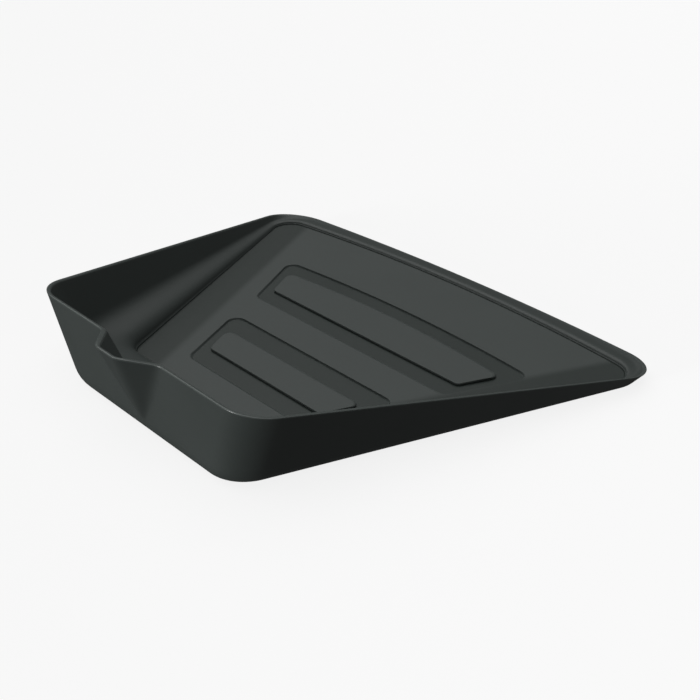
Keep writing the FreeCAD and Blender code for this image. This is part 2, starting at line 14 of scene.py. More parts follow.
import bmesh
import bpy
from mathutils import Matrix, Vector


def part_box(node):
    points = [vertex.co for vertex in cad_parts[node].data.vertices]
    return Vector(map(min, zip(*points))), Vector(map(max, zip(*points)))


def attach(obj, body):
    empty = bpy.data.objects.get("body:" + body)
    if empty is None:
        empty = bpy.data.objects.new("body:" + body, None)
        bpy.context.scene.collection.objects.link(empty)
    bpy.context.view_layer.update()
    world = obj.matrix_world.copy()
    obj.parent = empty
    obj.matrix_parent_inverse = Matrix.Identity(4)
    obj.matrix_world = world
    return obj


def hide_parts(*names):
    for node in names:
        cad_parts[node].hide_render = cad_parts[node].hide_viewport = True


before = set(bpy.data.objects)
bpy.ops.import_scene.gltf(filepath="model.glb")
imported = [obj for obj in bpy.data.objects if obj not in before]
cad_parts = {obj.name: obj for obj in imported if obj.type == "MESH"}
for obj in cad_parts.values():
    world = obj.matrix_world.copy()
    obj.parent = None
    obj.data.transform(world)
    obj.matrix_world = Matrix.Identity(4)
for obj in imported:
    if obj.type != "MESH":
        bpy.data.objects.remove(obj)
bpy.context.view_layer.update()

MM = 0.001
log = logging.getLogger("paint_roller_tray")

# A Mix node has one pair of inputs and one output for each type of data.
MIX_FIRST_COLOUR, MIX_SECOND_COLOUR, MIX_COLOUR = 6, 7, 2

Loop = list[Vector]
VertLoop = list[bmesh.types.BMVert]


def linear_colour(hex_code: str) -> tuple[float, float, float, float]:
    """Turn an sRGB hex colour into the linear colour that shaders take.

    Args:
        hex_code: six hexadecimal digits, red first.

    Returns:
        Linear red, green and blue, with an alpha of 1.
    """

    def decode(channel: float) -> float:
        """Undo the sRGB curve for one channel."""
        return channel / 12.92 if channel <= 0.04045 else ((channel + 0.055) / 1.055) ** 2.4

    red, green, blue = (int(hex_code[start : start + 2], 16) / 255 for start in (0, 2, 4))
    return decode(red), decode(green), decode(blue), 1.0


def add_node(
    tree: bpy.types.NodeTree,
    kind: str,
    settings: dict[str, object] | None = None,
    values: dict[str | int, object] | None = None,
    links: dict[str | int, bpy.types.NodeSocket] | None = None,
) -> bpy.types.Node:
    """Add one shader node with its settings, fixed inputs and links.

    Args:
        tree: the node tree to add to.
        kind: the node's type name.
        settings: properties of the node itself.
        values: input sockets that hold a constant.
        links: input sockets fed by another node's output.

    Returns:
        The new node.
    """
    node = tree.nodes.new(kind)
    for name, value in (settings or {}).items():
        setattr(node, name, value)
    for socket, value in (values or {}).items():
        node.inputs[socket].default_value = value
    for socket, source in (links or {}).items():
        tree.links.new(source, node.inputs[socket])
    return node


def mix_colours(
    tree: bpy.types.NodeTree, factor: bpy.types.NodeSocket, first: object, second: object
) -> bpy.types.NodeSocket:
    """Mix two colours.

    Args:
        tree: the material's node tree.
        factor: the second colour's share.
        first: the first colour, a constant or another node's output.
        second: the second colour, in the same way.

    Returns:
        The mixed colour's output socket.
    """
    node = add_node(tree, "ShaderNodeMix", {"data_type": "RGBA"}, links={"Factor": factor})
    for socket, value in ((MIX_FIRST_COLOUR, first), (MIX_SECOND_COLOUR, second)):
        if isinstance(value, bpy.types.NodeSocket):
            tree.links.new(value, node.inputs[socket])
        else:
            node.inputs[socket].default_value = value
    return node.outputs[MIX_COLOUR]


def empty_material(name: str) -> tuple[bpy.types.Material, bpy.types.NodeTree]:
    """Make a material with nothing in its node tree.

    Args:
        name: the material's name.

    Returns:
        The material and its node tree.
    """
    material = bpy.data.materials.new(name)
    material.use_nodes = True
    material.node_tree.nodes.clear()
    return material, material.node_tree


class Slot(Enum):
    """The record's material slots for the pieces that are built here."""

    SHELL = "shell_plastic"
    PANEL = "panel_plastic"
    BAR = "bar_plastic"


class Body(Enum):
    """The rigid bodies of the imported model."""

    TRAY = "tray"
    FLOOR = "floor"


@dataclass(frozen=True)
class PaintedSideShade:
    """Bands of painted shade along the panel's sides, beside the grooves: their colour is darkened to stand
    for the shade that falls there.

    Each band lies inside the panel's slanted side edge, which is half_width
    from the centre line at start_y and moves out by slope for each unit of Y.
    """

    half_width: float
    slope: float
    start_y: float
    band: float = 29.0
    soft_edge: float = 9.0


@dataclass(frozen=True)
class MouldedPolypropylene:
    """Injection-moulded polypropylene, dyed dark grey.

    The spark-eroded mould leaves a fine matte grain, so highlights are broad
    and weak; a little regrind in the batch makes the grey drift slightly.
    Lengths are millimetres.
    """

    name: str
    colour: str
    drift_colour: str
    roughness: float = 0.5
    roughness_swing: float = 0.04
    grain_pitch: float = 0.7
    grain_height: float = 0.02
    bump_strength: float = 0.35
    drift_size: float = 55.0
    # The colour and the bands of the painted shade along the floor panel's sides.
    painted_shade_colour: str | None = None
    side_shade: PaintedSideShade | None = None

    def material(self) -> bpy.types.Material:
        """Build the material.

        Returns:
            A new procedural material.
        """
        material, tree = empty_material(self.name)
        place = add_node(tree, "ShaderNodeTexCoord").outputs["Object"]
        drift = add_node(
            tree,
            "ShaderNodeTexNoise",
            values={"Scale": 1 / (self.drift_size * MM), "Detail": 3.0, "Roughness": 0.6},
            links={"Vector": place},
        )
        base, drifted = linear_colour(self.colour), linear_colour(self.drift_colour)
        colour = mix_colours(tree, drift.outputs["Fac"], base, drifted)
        # Painted shade: the panel's side bands are mixed towards a darker colour.
        if self.side_shade and self.painted_shade_colour:
            shade_mask = self._painted_shade_mask(tree, place, self.side_shade)
            colour = mix_colours(tree, shade_mask, colour, linear_colour(self.painted_shade_colour))
        # The real grain is about 0.1 mm; it is drawn coarser so that it shows.
        grain = add_node(
            tree,
            "ShaderNodeTexNoise",
            values={"Scale": 1 / (self.grain_pitch * MM), "Detail": 2.0, "Roughness": 0.5},
            links={"Vector": place},
        )
        bump = add_node(
            tree,
            "ShaderNodeBump",
            values={"Strength": self.bump_strength, "Distance": self.grain_height * MM},
            links={"Height": grain.outputs["Fac"]},
        )
        # Most of the noise lies between 0.3 and 0.7.
        sheen = add_node(
            tree,
            "ShaderNodeMapRange",
            values={
                "From Min": 0.3,
                "From Max": 0.7,
                "To Min": self.roughness - self.roughness_swing,
                "To Max": self.roughness + self.roughness_swing,
            },
            links={"Value": drift.outputs["Fac"]},
        )
        shader = add_node(
            tree,
            "ShaderNodeBsdfPrincipled",
            values={"IOR": 1.49, "Metallic": 0.0},
            links={
                "Base Color": colour,
                "Roughness": sheen.outputs["Result"],
                "Normal": bump.outputs["Normal"],
            },
        )
        add_node(tree, "ShaderNodeOutputMaterial", links={"Surface": shader.outputs["BSDF"]})
        return material

    @staticmethod
    def _painted_shade_mask(
        tree: bpy.types.NodeTree, place: bpy.types.NodeSocket, side_shade: PaintedSideShade
    ) -> bpy.types.NodeSocket:
        """Give 1 in the bands of painted shade along the panel's sides and 0 elsewhere.

        Args:
            tree: the material's node tree.
            place: the point's place, in metres.
            side_shade: the painted-shade bands, in millimetres of the model's own frame.

        Returns:
            The mask's output socket.
        """
        axes = add_node(tree, "ShaderNodeSeparateXYZ", links={"Vector": place})
        across = add_node(tree, "ShaderNodeMath", {"operation": "ABSOLUTE"}, links={0: axes.outputs["X"]})
        edge_at_middle = (side_shade.slope * side_shade.start_y - side_shade.half_width) * MM
        edge = add_node(
            tree,
            "ShaderNodeMath",
            {"operation": "MULTIPLY_ADD"},
            values={1: -side_shade.slope, 2: edge_at_middle},
            links={0: axes.outputs["Y"]},
        )
        inside = add_node(
            tree, "ShaderNodeMath", {"operation": "ADD"}, links={0: across.outputs[0], 1: edge.outputs[0]}
        )
        shade_mask = add_node(
            tree,
            "ShaderNodeMapRange",
            {"interpolation_type": "SMOOTHSTEP"},
            values={
                "From Min": -(side_shade.band + side_shade.soft_edge / 2) * MM,
                "From Max": -(side_shade.band - side_shade.soft_edge / 2) * MM,
                "To Min": 0.0,
                "To Max": 1.0,
            },
            links={"Value": inside.outputs[0]},
        )
        return shade_mask.outputs["Result"]


@dataclass(frozen=True)
class MouldedRubber:
    """Compression-moulded black rubber: dull, with dust-grey mottling.

    It throws no highlight, so the feet stay dark pads under the shell.
    Lengths are millimetres.
    """

    name: str
    colour: str
    bloom_colour: str
    roughness: float = 0.85
    bloom_size: float = 2.5
    bloom_height: float = 0.05
    bump_strength: float = 0.4

    def material(self) -> bpy.types.Material:
        """Build the material.

        Returns:
            A new procedural material.
        """
        material, tree = empty_material(self.name)
        place = add_node(tree, "ShaderNodeTexCoord").outputs["Object"]
        bloom = add_node(
            tree,
            "ShaderNodeTexNoise",
            values={"Scale": 1 / (self.bloom_size * MM), "Detail": 4.0},
            links={"Vector": place},
        )
        base, bloomed = linear_colour(self.colour), linear_colour(self.bloom_colour)
        colour = mix_colours(tree, bloom.outputs["Fac"], base, bloomed)
        bump = add_node(
            tree,
            "ShaderNodeBump",
            values={"Strength": self.bump_strength, "Distance": self.bloom_height * MM},
            links={"Height": bloom.outputs["Fac"]},
        )
        shader = add_node(
            tree,
            "ShaderNodeBsdfPrincipled",
            values={"IOR": 1.52, "Roughness": self.roughness},
            links={"Base Color": colour, "Normal": bump.outputs["Normal"]},
        )
        add_node(tree, "ShaderNodeOutputMaterial", links={"Surface": shader.outputs["BSDF"]})
        return material


@dataclass(frozen=True)
class LoopSteps:
    """How many steps each stretch of an outline is cut into."""

    near: int
    near_arc: int
    side: int
    far_arc: int
    far: int


@dataclass(frozen=True)
class Outline:
    """A rounded trapezoid, the same on both sides of the centre line.

    Sizes are millimetres.  The near edge is straight; the far edge bows out
    by bow at the centre line.
    """

    near_half: float
    far_half: float
    near_y: float
    far_y: float
    near_corner: float
    far_corner: float
    bow: float = 0.0

    def inset(
        self,
        side_near: float,
        side_far: float,
        near: float,
        far: float,
        near_corner: float | None = None,
        far_corner: float | None = None,
    ) -> "Outline":
        """Give an outline that lies inside this one.

        Args:
            side_near: how far each side moves in at the near corners.
            side_far: how far each side moves in at the far corners.
            near: how far the near edge moves in.
            far: how far the far edge moves in.
            near_corner: the new near corner radius, if it changes.
            far_corner: the new far corner radius, if it changes.

        Returns:
            The smaller outline.
        """
        return replace(
            self,
            near_half=self.near_half - side_near,
            far_half=self.far_half - side_far,
            near_y=self.near_y + near,
            far_y=self.far_y - far,
            near_corner=self.near_corner if near_corner is None else near_corner,
            far_corner=self.far_corner if far_corner is None else far_corner,
        )

    def shrink(self, gap: float, corner_floor: float = 0.3) -> "Outline":
        """Give the outline a constant gap inside this one.

        Args:
            gap: the gap, measured square to each edge.
            corner_floor: the smallest corner radius to allow.

        Returns:
            The parallel outline.
        """
        slope = (self.far_half - self.near_half) / (self.far_y - self.near_y)
        across = gap * math.hypot(1, slope)
        return self.inset(
            across - gap * slope,
            across + gap * slope,
            gap,
            gap,
            max(self.near_corner - gap, corner_floor),
            max(self.far_corner - gap, corner_floor),
        )

    def loop(self, steps: LoopSteps, near_places: Sequence[float] = ()) -> Loop:
        """Cut the outline into points, counter-clockwise from above.

        Args:
            steps: how finely each stretch is cut.
            near_places: fixed X places on the near edge, left to right, which
                every outline with the same places shares.

        Returns:
            Points with a Z of 0, starting at the near edge's left end.
        """
        side = Vector((self.far_half - self.near_half, self.far_y - self.near_y, 0)).normalized()
        inward = Vector((-side.y, side.x, 0))
        corner = Vector((self.near_half, self.near_y, 0))
        near_centre = self._near_centre(side, corner)
        far_centre, far_turn = self._far_centre(side, inward, corner)
        side_turn = math.atan2(-inward.y, -inward.x)
        right = self._arc(near_centre, self.near_corner, -math.pi / 2, side_turn, steps.near_arc)
        far_arc = self._arc(far_centre, self.far_corner, side_turn, far_turn, steps.far_arc)
        right += [right[-1].lerp(far_arc[0], index / steps.side) for index in range(1, steps.side)]
        right += far_arc
        crown = self._far_edge(far_arc[-1], far_turn, steps.far)
        left = [Vector((-point.x, point.y, 0)) for point in reversed(right)]
        near = self._near_edge(near_centre.x, steps.near, near_places)
        return near + right + crown + left

    def _near_centre(self, side: Vector, corner: Vector) -> Vector:
        """Find the centre of the right near corner's arc.

        Args:
            side: the right side's direction, towards the mouth.
            corner: where the near edge and the right side meet.

        Returns:
            The arc's centre.
        """
        half_angle = Vector((-1, 0, 0)).angle(side) / 2
        middle = (Vector((-1, 0, 0)) + side).normalized()
        return corner + middle * (self.near_corner / math.sin(half_angle))

    def _far_centre(self, side: Vector, inward: Vector, corner: Vector) -> tuple[Vector, float]:
        """Find the centre of the right far corner's arc, and where it ends.

        Args:
            side: the right side's direction, towards the mouth.
            inward: the direction square to it, into the outline.
            corner: where the near edge and the right side meet.

        Returns:
            The arc's centre, and the angle at which it meets the far edge.
        """
        if not self.bow:
            end = Vector((self.far_half, self.far_y, 0))
            half_angle = Vector((-1, 0, 0)).angle(-side) / 2
            middle = (Vector((-1, 0, 0)) - side).normalized()
            return end + middle * (self.far_corner / math.sin(half_angle)), math.pi / 2
        sweep, sweep_centre = self._sweep()
        base = corner + inward * self.far_corner
        offset = base - sweep_centre
        along = -offset.dot(side)
        along += math.sqrt(along**2 - offset.dot(offset) + (sweep - self.far_corner) ** 2)
        centre = base + side * along
        outward = centre - sweep_centre
        return centre, math.atan2(outward.y, outward.x)

    def _sweep(self) -> tuple[float, Vector]:
        """Give the radius and the centre of the bowed far edge."""
        radius = (self.far_half**2 + self.bow**2) / (2 * self.bow)
        return radius, Vector((0, self.far_y + self.bow - radius, 0))

    def _far_edge(self, start: Vector, turn: float, steps: int) -> Loop:
        """Cut the far edge between its two corners, from right to left.

        Args:
            start: where the right far corner's arc ends.
            turn: the angle at which it ends.
            steps: how many stretches the edge has.

        Returns:
            The edge's points, without its two ends.
        """
        if not self.bow:
            end = Vector((-start.x, start.y, 0))
            return [start.lerp(end, index / steps) for index in range(1, steps)]
        sweep, centre = self._sweep()
        return self._arc(centre, sweep, turn, math.pi - turn, steps)[1:-1]

    def _near_edge(self, reach: float, steps: int, places: Sequence[float]) -> Loop:
        """Cut the near edge from left to right.

        Args:
            reach: how far the edge runs from the centre line.
            steps: how many stretches the edge has, or has on each side of
                the fixed places.
            places: fixed X places, left to right, or none.

        Returns:
            The edge's points, without its two ends.
        """
        if not places:
            across = [reach * (2 * index / steps - 1) for index in range(1, steps)]
            return [Vector((x, self.near_y, 0)) for x in across]
        right = [places[-1] + (reach - places[-1]) * index / steps for index in range(1, steps)]
        across = [-x for x in reversed(right)] + list(places) + right
        return [Vector((x, self.near_y, 0)) for x in across]

    @staticmethod
    def _arc(centre: Vector, radius: float, first: float, last: float, steps: int) -> Loop:
        """Cut an arc into steps, both ends included."""
        turns = [first + (last - first) * index / steps for index in range(steps + 1)]
        return [centre + Vector((math.cos(turn), math.sin(turn), 0)) * radius for turn in turns]


@dataclass(frozen=True)
class Slope:
    """A height that falls evenly from the spout end towards the mouth."""

    near: float
    far: float
    length: float

    def at(self, y: float) -> float:
        """Give the height at one place along the tray."""
        return self.near + (self.far - self.near) * y / self.length

    def lift(self, loop: Loop) -> Loop:
        """Give the loop's points this height."""
        return [Vector((point.x, point.y, self.at(point.y))) for point in loop]


def at_height(loop: Loop, height: float) -> Loop:
    """Give every point of a loop one height."""
    return [Vector((point.x, point.y, height)) for point in loop]


def bend(start: Loop, corner: Loop, end: Loop, steps: int) -> list[Loop]:
    """Round the way between two loops, column by column.

    Args:
        start: where the bend starts.
        corner: the sharp corner that the bend cuts off.
        end: where the bend ends.
        steps: how many stretches the bend has.

    Returns:
        Loops from start to end, both included.
    """
    loops = []
    for index in range(steps + 1):
        t = index / steps
        loops.append(
            [a * (1 - t) ** 2 + b * (2 * t * (1 - t)) + c * t**2 for a, b, c in zip(start, corner, end)]
        )
    return loops


def straight(start: Loop, end: Loop, steps: int) -> list[Loop]:
    """Divide the straight way between two loops, without its ends."""
    return [[a.lerp(b, index / steps) for a, b in zip(start, end)] for index in range(1, steps)]


def towards(start: Loop, end: Loop, distance: float, limit: float = 0.48) -> Loop:
    """Move each point of a loop a set distance towards another loop.

    Args:
        start: the loop to move.
        end: the loop to move it towards.
        distance: how far each point moves.
        limit: the largest share of the way that a point may move.

    Returns:
        The moved loop.
    """
    moved = []
    for a, b in zip(start, end):
        way = b - a
        moved.append(a + way * min(distance / way.length, limit))
    return moved


class MeshMaker:
    """Builds one mesh, in metres and in the model's frame, from loops in millimetres."""

    def __init__(self, name: str, shift_y: float) -> None:
        """Start an empty mesh.

        Args:
            name: the piece's name.
            shift_y: where the layout's Y of 0 lies in the model's frame.
        """
        self.name = name
        self.shift_y = shift_y
        self.mesh = bmesh.new()

    def loop(self, points: Loop) -> VertLoop:
        """Add a loop's points and give its vertices."""
        return [self.mesh.verts.new((p.x * MM, (p.y + self.shift_y) * MM, p.z * MM)) for p in points]

    def skin(self, loops: Sequence[Loop], polish_and_highlight: range = range(0)) -> tuple[VertLoop, VertLoop]:
        """Bridge a stack of loops with smooth quads.

        Args:
            loops: loops of one length; with loops counter-clockwise and
                rising, the skin faces outwards.
            polish_and_highlight: which bands between loops take the second material.

        Returns:
            The first and the last loop's vertices.
        """
        rows = [self.loop(points) for points in loops]
        for band, (lower, upper) in enumerate(zip(rows, rows[1:])):
            count = len(lower)
            for index in range(count):
                following = (index + 1) % count
                corners = (lower[index], lower[following], upper[following], upper[index])
                face = self.mesh.faces.new(corners)
                face.smooth = True
                face.material_index = int(band in polish_and_highlight)
        return rows[0], rows[-1]

    def flat(self, rims: Sequence[VertLoop], upwards: bool, finish: int = 0) -> None:
        """Fill a level face between an outer rim and any holes in it.

        Args:
            rims: lists of vertices, the outer rim first.
            upwards: whether the face looks up.
            finish: the material's place in the piece's list.
        """
        edges = []
        for rim in rims:
            for index, vert in enumerate(rim):
                pair = (vert, rim[(index + 1) % len(rim)])
                edges.append(self.mesh.edges.get(pair) or self.mesh.edges.new(pair))
        made = bmesh.ops.triangle_fill(self.mesh, use_beauty=True, use_dissolve=False, edges=edges)
        for face in made["geom"]:
            if isinstance(face, bmesh.types.BMFace):
                face.normal_update()
                if (face.normal.z > 0) != upwards:
                    face.normal_flip()
                face.material_index = finish
                face.smooth = False

    def finish(self, materials: Sequence[bpy.types.Material]) -> bpy.types.Object:
        """Turn what was built into an object.

        Args:
            materials: the piece's materials, in the order of their numbers.

        Returns:
            The new object, linked to the scene.
        """
        data = bpy.data.meshes.new(self.name)
        self.mesh.to_mesh(data)
        self.mesh.free()
        for material in materials:
            data.materials.append(material)
        piece = bpy.data.objects.new(self.name, data)
        bpy.context.scene.collection.objects.link(piece)
        return piece


@dataclass
class Layout:
    """Heights and outlines that more than one piece is built on.

    Sizes are millimetres.
    """

    spout_reach: float = 17.5
    recess_floor: float = 3.5
    panel_thickness: float = 3.0
    ledge: float = 7.5
    groove_floor: float = 4.9
    panel_clearance: float = 0.35
    rim: Outline = Outline(
        near_half=112.0, far_half=200.0, near_y=0.0, far_y=300.0, near_corner=28.0, far_corner=32.0, bow=14.0
    )
    recess: Outline = Outline(
        near_half=83.0, far_half=187.0, near_y=50.0, far_y=281.5, near_corner=16.0, far_corner=16.0, bow=14.0
    )
    front_groove: Outline = Outline(
        near_half=60.0, far_half=87.0, near_y=75.0, far_y=138.7, near_corner=8.0, far_corner=8.0
    )
    rear_groove: Outline = Outline(
        near_half=98.0, far_half=127.0, near_y=167.5, far_y=228.5, near_corner=8.0, far_corner=8.0, bow=7.0
    )
    groove_offset: float = 9.0
    shift_y: float = field(init=False)

    def __post_init__(self) -> None:
        """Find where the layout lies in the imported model's frame."""
        self.shift_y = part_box("tray_shell")[0].y / MM + self.spout_reach

    @property
    def panel_top(self) -> float:
        """Height of the floor panel's upper face."""
        return self.recess_floor + self.panel_thickness

    @property
    def panel(self) -> Outline:
        """The floor panel's outline, a clearance inside its recess."""
        gap = self.panel_clearance
        return self.recess.inset(gap, gap, gap, gap)

    def aside(self, loop: Loop) -> Loop:
        """Move a loop by the grooves' distance off the centre line."""
        return [Vector((point.x + self.groove_offset, point.y, point.z)) for point in loop]


@dataclass(frozen=True)
class Spout:
    """The pour spout: a wedge that pushes the end wall out towards its lip.

    All sizes are millimetres.  The wedge grows evenly from its apex, low on
    the wall, to the lip at the rim.
    """

    apex_height: float
    apex_y: float
    apex_half_front: float
    apex_half_root: float
    lip_y: float
    lip_half_front: float
    lip_half_root: float
    softness: float

    def push(self, point: Vector, top: float) -> Vector:
        """Move one point of the wall out to the spout's skin.

        Args:
            point: a point of the plain wall.
            top: the rim's height above the point.

        Returns:
            The point on the spout, or the same point where there is none.
        """
        growth = (point.z - self.apex_height) / (top - self.apex_height)
        if growth <= 0:
            return point
        front = self.apex_half_front + (self.lip_half_front - self.apex_half_front) * growth
        root = self.apex_half_root + (self.lip_half_root - self.apex_half_root) * growth
        face_y = self.apex_y + (self.lip_y - self.apex_y) * growth
        depth = point.y - face_y
        if depth <= 0:
            return point
        side = depth * (root - abs(point.x)) / (root - front)
        # The edges soften over the lower half and keep one softness above it.
        softness = self.softness * min(growth * 2, 1)
        flank = soft_least(depth, side, softness)
        return Vector((point.x, point.y - soft_most(flank, 0.0, softness), point.z))


def soft_least(first: float, second: float, softness: float) -> float:
    """Give the smaller of two values, blended where they are close."""
    smallest_softness = 1e-6
    gap = max(softness - abs(first - second), 0) / max(softness, smallest_softness)
    return min(first, second) - gap * gap * softness / 4


def soft_most(first: float, second: float, softness: float) -> float:
    """Give the larger of two values, blended where they are close."""
    return -soft_least(-first, -second, softness)


@dataclass
class TrayShell:
    """The tray's one moulding: walls, rim, cove, spout, recess and underside."""

    layout: Layout
    wall: float = 2.5
    rim_round: float = 1.05
    rim_near_height: float = 66.0
    rim_far_height: float = 8.0
    underside: float = 1.0
    recess_edge: float = 0.3
    spout_zone: float = 37.5
    spout_step: float = 1.5
    # Beyond this place along the tray nothing is pushed out to the spout.
    spout_end_y: float = 60.0
    core_height: float = 10.0
    heel_bands: int = 8
    wall_bands: int = 26
    rim_bands: int = 5
    inner_bands: int = 14
    cove_bands: int = 22
    edge_bands: int = 3
    # The cove leaves the shoulder along the wall and comes down on the ledge
    # almost upright; the pulls are shares of the straight way between them.
    cove_wall_pull: float = 0.3
    cove_ledge_pull: float = 0.06
    cove_ledge_rise: float = 0.34
    steps: LoopSteps = LoopSteps(near=8, near_arc=14, side=40, far_arc=18, far=40)
    core_steps: LoopSteps = LoopSteps(near=6, near_arc=4, side=2, far_arc=4, far=6)
    core_mouth: Outline = Outline(
        near_half=63.6, far_half=63.6, near_y=16.3, far_y=43.8, near_corner=3.0, far_corner=3.0
    )
    core_roof: Outline = Outline(
        near_half=60.0, far_half=60.0, near_y=9.5, far_y=24.0, near_corner=3.0, far_corner=3.0
    )
    outer_spout: Spout = Spout(
        apex_height=13.0,
        apex_y=2.5,
        apex_half_front=1.6,
        apex_half_root=4.0,
        lip_y=-17.5,
        lip_half_front=10.5,
        lip_half_root=31.0,
        softness=3.0,
    )
    inner_spout: Spout = Spout(
        apex_height=27.0,
        apex_y=5.0,
        apex_half_front=1.6,
        apex_half_root=4.0,
        lip_y=-15.0,
        lip_half_front=9.0,
        lip_half_root=28.5,
        softness=2.0,
    )

    def build(self, plastic: bpy.types.Material, polish_and_highlight: bpy.types.Material) -> bpy.types.Object:
        """Build the moulding as one closed skin.

        Args:
            plastic: the moulding's material.
            polish_and_highlight: the same plastic on the rim, smoother and lighter; the lighter colour is a
                painted highlight.

        Returns:
            The finished piece.
        """
        maker = MeshMaker("tray_moulding", self.layout.shift_y)
        outside, inside = self._outside(), self._inside()
        crest = len(outside) - 1
        # The rim's bands take the lighter plastic, a painted highlight.
        rim_highlight_bands = range(crest - self.rim_bands, crest + self.rim_bands + 1)
        first, last = maker.skin(outside + inside, rim_highlight_bands)
        maker.flat([last], upwards=True)
        core = self._core(maker)
        maker.flat([first, core], upwards=False)
        return maker.finish([plastic, polish_and_highlight])

    def _loop(self, outline: Outline) -> Loop:
        """Cut an outline with the spout's columns on its near edge."""
        count = round(self.spout_zone / self.spout_step)
        places = [index * self.spout_step for index in range(-count, count + 1)]
        return outline.loop(self.steps, places)

    @property
    def rim_plane(self) -> Slope:
        """Height of the rim along the tray."""
        return Slope(self.rim_near_height, self.rim_far_height, self.layout.rim.far_y)

    def _rims(self) -> tuple[Loop, Loop]:
        """Give the rim's two edges, before they are rounded.

        Returns:
            The outer edge and the inner edge.
        """
        rim, wall = self.layout.rim, self.wall
        inner = rim.inset(wall, wall, wall, wall, rim.near_corner - wall, rim.far_corner - wall)
        return self.rim_plane.lift(self._loop(rim)), self.rim_plane.lift(self._loop(inner))

    def _outside(self) -> list[Loop]:
        """Stack the loops from the underside up to the rim's crest.

        Returns:
            The loops, lowest first.
        """
        rim = self.layout.rim
        outer_rim, inner_rim = self._rims()
        ground_outline = rim.inset(
            side_near=36, side_far=13, near=13, far=10, near_corner=28, far_corner=19
        )
        knee_outline = rim.inset(
            side_near=19.5, side_far=8, near=3, far=5, near_corner=28, far_corner=24
        )
        ground = at_height(self._loop(ground_outline), self.underside)
        knee = Slope(near=13, far=3, length=rim.far_y).lift(self._loop(knee_outline))
        # The heel is where the straight wall would meet the underside.
        heel = [
            k + (k - r) * ((k.z - self.underside) / (r.z - k.z)) for k, r in zip(knee, outer_rim)
        ]
        edge = towards(outer_rim, knee, self.rim_round)
        crest = towards(outer_rim, inner_rim, self.rim_round)
        loops = bend(ground, heel, knee, self.heel_bands) + straight(knee, edge, self.wall_bands)
        loops += bend(edge, outer_rim, crest, self.rim_bands)
        return [self._spouted(loop, self.outer_spout) for loop in loops]

    def _inside(self) -> list[Loop]:
        """Stack the loops from the rim's crest down to the recess floor.

        Returns:
            The loops, highest first.
        """
        rim = self.layout.rim
        outer_rim, inner_rim = self._rims()
        shoulder_outline = rim.inset(
            side_near=14.2, side_far=5, near=8.1, far=6.5, near_corner=28, far_corner=27
        )
        shoulder = Slope(near=33.5, far=7.6, length=rim.far_y).lift(self._loop(shoulder_outline))
        ledge = at_height(self._loop(self.layout.recess), self.layout.ledge)
        crest = towards(inner_rim, outer_rim, self.rim_round)
        edge = towards(inner_rim, shoulder, self.rim_round)
        loops = bend(crest, inner_rim, edge, self.rim_bands)
        loops += straight(edge, shoulder, self.inner_bands) + self._cove(inner_rim, shoulder, ledge)
        loops = [self._spouted(loop, self.inner_spout) for loop in loops]
        return loops + self._recess_wall(ledge)

    def _cove(self, rim: Loop, shoulder: Loop, ledge: Loop) -> list[Loop]:
        """Sweep the inner wall out over a shelf and steeply down to the ledge.

        Args:
            rim: the inner rim, which gives the wall's way.
            shoulder: where the cove starts.
            ledge: where the cove ends.

        Returns:
            The loops from the shoulder to the ledge, both included.
        """
        loops = []
        for index in range(self.cove_bands + 1):
            t = index / self.cove_bands
            row = []
            for r, s, e in zip(rim, shoulder, ledge):
                reach = (e - s).length
                level = Vector((e.x - s.x, e.y - s.y, 0)).normalized()
                first = s + (s - r).normalized() * reach * self.cove_wall_pull
                second = e - level * reach * self.cove_ledge_pull
                second += Vector((0, 0, reach * self.cove_ledge_rise))
                point = s * (1 - t) ** 3 + first * (3 * t * (1 - t) ** 2)
                row.append(point + second * (3 * t * t * (1 - t)) + e * t**3)
            loops.append(row)
        return loops

    def _spouted(self, loop: Loop, spout: Spout) -> Loop:
        """Push one loop's near edge out to the spout, rising with the rim.

        Args:
            loop: a loop of the plain wall.
            spout: the skin to push it to.

        Returns:
            The loop with the spout in it.
        """
        moved = []
        for point in loop:
            top = self.rim_plane.at(point.y)
            pushed = spout.push(point, top) if point.y < self.spout_end_y else point
            growth = max((point.z - spout.apex_height) / (top - spout.apex_height), 0)
            rise = (self.rim_plane.at(pushed.y) - top) * min(growth, 1)
            moved.append(Vector((pushed.x, pushed.y, pushed.z + rise)))
        return moved

    def _recess_wall(self, ledge: Loop) -> list[Loop]:
        """Drop from the ledge to the recess floor round a small edge.

        Args:
            ledge: the ledge's inner edge, before it is rounded.

        Returns:
            The loops below the ledge.
        """
        inner = self._loop(self.layout.recess.shrink(self.recess_edge))
        top = at_height(inner, self.layout.ledge)
        below = at_height(inner, self.layout.ledge - self.recess_edge)
        return bend(ledge, top, below, self.edge_bands)[1:] + [at_height(inner, self.layout.recess_floor)]

    def _core(self, maker: MeshMaker) -> VertLoop:
        """Hollow out the underside below the cove.

        Args:
            maker: the shell's mesh.

        Returns:
            The vertices of the hollow's mouth.
        """
        mouth = at_height(self.core_mouth.loop(self.core_steps), self.underside)
        roof = at_height(self.core_roof.loop(self.core_steps), self.core_height)
        first, last = maker.skin([mouth[::-1], roof[::-1]])
        maker.flat([last], upwards=False)
        return first


@dataclass(frozen=True)
class GrooveShape:
    """How a groove's walls run from the panel's face to its floor.

    The wall towards the well is a soft ramp and the others are crisp, so a
    roller is wiped by the edge that it climbs.
    """

    ramp: float = 2.8
    crisp: float = 0.3
    side: float = 1.0
    bands: int = 8


